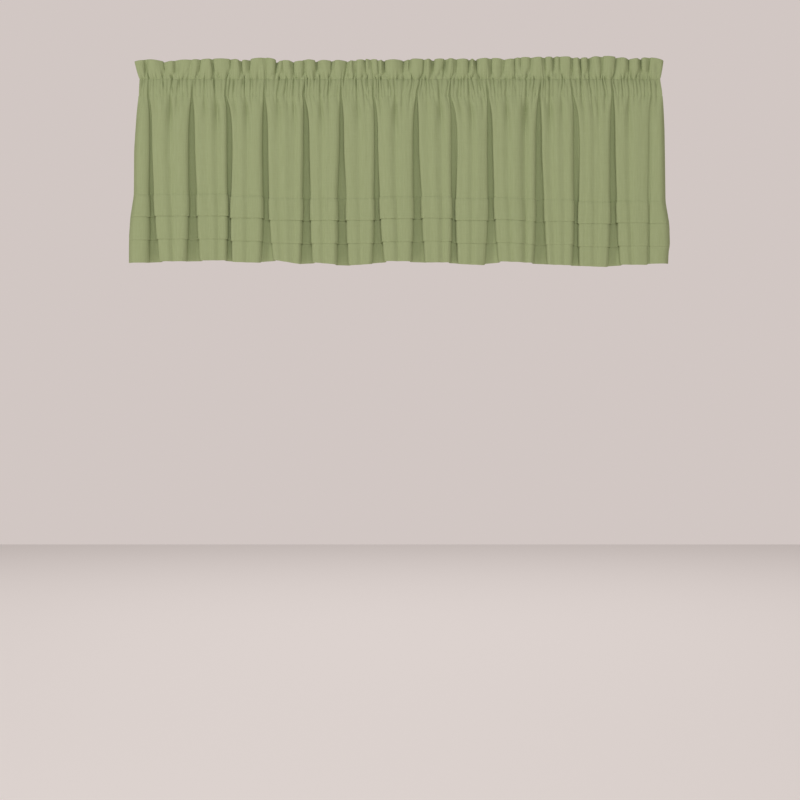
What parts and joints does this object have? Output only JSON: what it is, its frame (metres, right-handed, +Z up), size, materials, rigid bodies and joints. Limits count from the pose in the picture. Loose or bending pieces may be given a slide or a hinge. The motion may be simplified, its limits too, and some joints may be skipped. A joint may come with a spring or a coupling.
{
  "type": "window valance",
  "caption": "Gathered window valance: a ruffled rod-pocket heading over a softly folded skirt with overlapping tucks and a deep hem, hung from a curtain rod that is left out.",
  "frame": {"origin": "middle of the heading's upper stitching line, the roof of the rod pocket, from which the cloth hangs", "axes": "+X along the valance to the right as seen from the room, -Y the front that faces the room, +Z up"},
  "size_m": [0.8709, 0.0293, 0.3393],
  "materials": {
    "cloth": "matt sage-green plain weave"
  },
  "bodies": {
    "root": {"heading": "cloth", "skirt": "cloth"}
  },
  "joints": []
}
